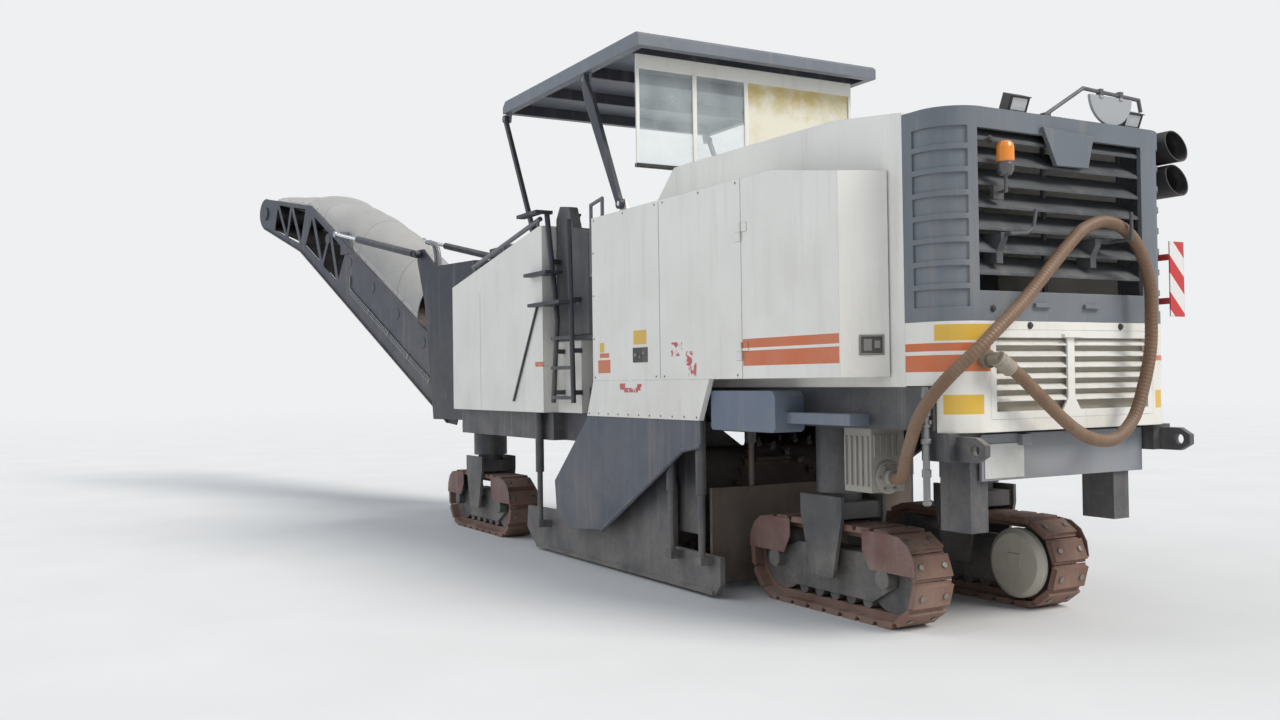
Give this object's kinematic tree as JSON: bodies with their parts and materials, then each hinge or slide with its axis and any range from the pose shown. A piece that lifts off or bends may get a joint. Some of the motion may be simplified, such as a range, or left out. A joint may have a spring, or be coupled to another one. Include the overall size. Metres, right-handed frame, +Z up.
{
  "type": "cold planer milling machine",
  "caption": "Large road milling machine on tracks with a milling drum under its middle, an operator's canopy and a long slewing discharge conveyor at the front",
  "frame": {"origin": "on the ground under the middle of the whole machine's box, hose left out", "axes": "+X points to the rear (engine) end, +Y to the machine's right side, +Z up; the discharge conveyor points to -X"},
  "size_m": [14.4769, 3.0084, 4.4392],
  "materials": {
    "body_paint": "semi-gloss cream white paint, dusty",
    "frame_paint": "satin blue-black paint, worn and dusty",
    "guard_paint": "satin dark blue-grey paint, scratched",
    "step_paint": "satin grey-blue paint",
    "cowl_plastic": "matt slate grey moulding",
    "plate_paint": "matt mid grey paint",
    "cast_parts": "dark oily casting",
    "worn_steel": "rusty steel with rubbed edges",
    "black_steel": "sooty black heat-proof paint",
    "chrome_rod": "polished with an oil film",
    "track_pad": "brown worn pads, dusty",
    "belt_rubber": "matt black rubber",
    "hose_rubber": "brown ribbed rubber",
    "seat_trim": "black vinyl",
    "canvas": "grey canvas",
    "clear_glass": "clear with dust",
    "amber": "amber lens",
    "lamp_black": "black housing",
    "reflective": "red and white reflective sheet"
  },
  "bodies": {
    "frame": {"chassis": "frame_paint", "drum_housing": "frame_paint", "front_body": "body_paint", "side_panels": "body_paint", "side_skirts": "body_paint", "drum_shields": "guard_paint", "engine_hood": "body_paint", "engine_block": "cast_parts", "rear_cowl": "cowl_plastic", "rear_louvres": "cowl_plastic", "rear_frame": "body_paint", "rear_flap": "body_paint", "rear_plate": "plate_paint", "platform": "frame_paint", "operator_station": "seat_trim", "handrails": "frame_paint", "ladders": "frame_paint", "side_steps": "step_paint", "lamps": "lamp_black", "beacon": "amber", "rear_mirror": "frame_paint", "exhaust_pipes": "black_steel", "warning_board": "reflective", "hose_fittings": "frame_paint", "suction_hose": "hose_rubber", "pump_unit": "frame_paint", "primary_conveyor": "frame_paint", "primary_belt": "belt_rubber", "conveyor_bracket": "frame_paint", "side_plate_cylinders": "frame_paint"},
    "track_unit_rl": {"track_rl": "track_pad", "track_frame_rl": "guard_paint"},
    "track_unit_rr": {"track_rr": "track_pad", "track_frame_rr": "guard_paint"},
    "track_unit_fl": {"track_fl": "track_pad", "track_frame_fl": "guard_paint"},
    "track_unit_fr": {"track_fr": "track_pad", "track_frame_fr": "guard_paint"},
    "drum": {"milling_drum": "worn_steel"},
    "side_plate_l": {"side_plate_left": "frame_paint"},
    "side_plate_r": {"side_plate_right": "frame_paint"},
    "scraper": {"scraper_blade": "worn_steel"},
    "door_l": {"door_left": "body_paint"},
    "door_r": {"door_right": "body_paint"},
    "rear_arms": {"canopy_rear_arms": "frame_paint"},
    "front_arms": {"canopy_front_arms": "frame_paint"},
    "roof": {"canopy_roof": "guard_paint", "canopy_glass": "clear_glass"},
    "tower": {"slew_tower": "frame_paint"},
    "conveyor": {"conveyor_frame": "frame_paint", "conveyor_rollers": "cast_parts", "conveyor_belt": "belt_rubber", "conveyor_cover": "canvas"},
    "barrels": {"luff_barrels": "frame_paint"},
    "rods": {"luff_rods": "chrome_rod"}
  },
  "joints": [
    {"name": "steer_rear_left", "type": "hinge", "parent": "frame", "child": "track_unit_rl", "pos_m": [5.66229, -0.3638, 0.7], "axis": [0, 0, 1], "range_deg": [-18, 18]},
    {"name": "steer_rear_right", "type": "hinge", "parent": "frame", "child": "track_unit_rr", "pos_m": [5.66229, 0.8442, 0.7], "axis": [0, 0, 1], "range_deg": [-18, 18]},
    {"name": "steer_front_left", "type": "hinge", "parent": "frame", "child": "track_unit_fl", "pos_m": [0.26229, -0.6698, 0.7], "axis": [0, 0, 1], "range_deg": [-18, 18]},
    {"name": "steer_front_right", "type": "hinge", "parent": "frame", "child": "track_unit_fr", "pos_m": [0.26229, 1.1502, 0.7], "axis": [0, 0, 1], "range_deg": [-18, 18]},
    {"name": "drum_spin", "type": "hinge", "parent": "frame", "child": "drum", "pos_m": [3.72229, 0.2402, 0.58], "axis": [0, 1, 0], "continuous": true},
    {"name": "side_plate_lift_left", "type": "slide", "parent": "frame", "child": "side_plate_l", "axis": [0, 0, 1], "range_m": [0, 0.3]},
    {"name": "side_plate_lift_right", "type": "slide", "parent": "frame", "child": "side_plate_r", "axis": [0, 0, 1], "range_m": [0, 0.3]},
    {"name": "scraper_lift", "type": "slide", "parent": "frame", "child": "scraper", "axis": [0, 0, 1], "range_m": [0, 0.3]},
    {"name": "door_open_left", "type": "hinge", "parent": "frame", "child": "door_l", "pos_m": [5.43929, -1.0148, 2.2], "axis": [0, 0, -1], "range_deg": [0, 100]},
    {"name": "door_open_right", "type": "hinge", "parent": "frame", "child": "door_r", "pos_m": [5.43929, 1.4952, 2.2], "axis": [0, 0, 1], "range_deg": [0, 100]},
    {"name": "canopy_swing", "type": "hinge", "parent": "frame", "child": "rear_arms", "pos_m": [3.65229, 0.2402, 2.97], "axis": [0, -1, 0], "range_deg": [0, 50]},
    {"name": "front_arm_swing", "type": "hinge", "parent": "frame", "child": "front_arms", "pos_m": [1.97229, 0.2402, 2.97], "axis": [0, -1, 0], "range_deg": [0, 50]},
    {"name": "roof_level", "type": "hinge", "parent": "rear_arms", "child": "roof", "pos_m": [3.05229, 0.2402, 4.1], "axis": [0, -1, 0], "range_deg": [-50, 0]},
    {"name": "conveyor_slew", "type": "hinge", "parent": "frame", "child": "tower", "pos_m": [-0.67771, 0.2402, 2], "axis": [0, 0, 1], "range_deg": [-71, 49]},
    {"name": "conveyor_luff", "type": "hinge", "parent": "tower", "child": "conveyor", "pos_m": [-1.56118, 0.06847, 1.4], "axis": [-0.1908, 0.9816, 0], "range_deg": [-26, 8]},
    {"name": "cylinder_tilt", "type": "hinge", "parent": "tower", "child": "barrels", "pos_m": [-2.10107, -0.03647, 3.13], "axis": [-0.1908, 0.9816, 0], "range_deg": [-36, 12]},
    {"name": "cylinder_stroke", "type": "slide", "parent": "barrels", "child": "rods", "axis": [-0.959, -0.1864, 0.2136], "range_m": [-0.26, 0.82]}
  ],
  "couplings": [
    {"joint": "steer_rear_right", "follows": "steer_rear_left", "ratio": 1},
    {"joint": "steer_front_right", "follows": "steer_front_left", "ratio": 1},
    {"joint": "front_arm_swing", "follows": "canopy_swing", "ratio": 1},
    {"joint": "roof_level", "follows": "canopy_swing", "ratio": -1},
    {"joint": "cylinder_tilt", "follows": "conveyor_luff", "ratio": 1.176},
    {"joint": "cylinder_stroke", "follows": "conveyor_luff", "m_per_rad": -1.742}
  ]
}
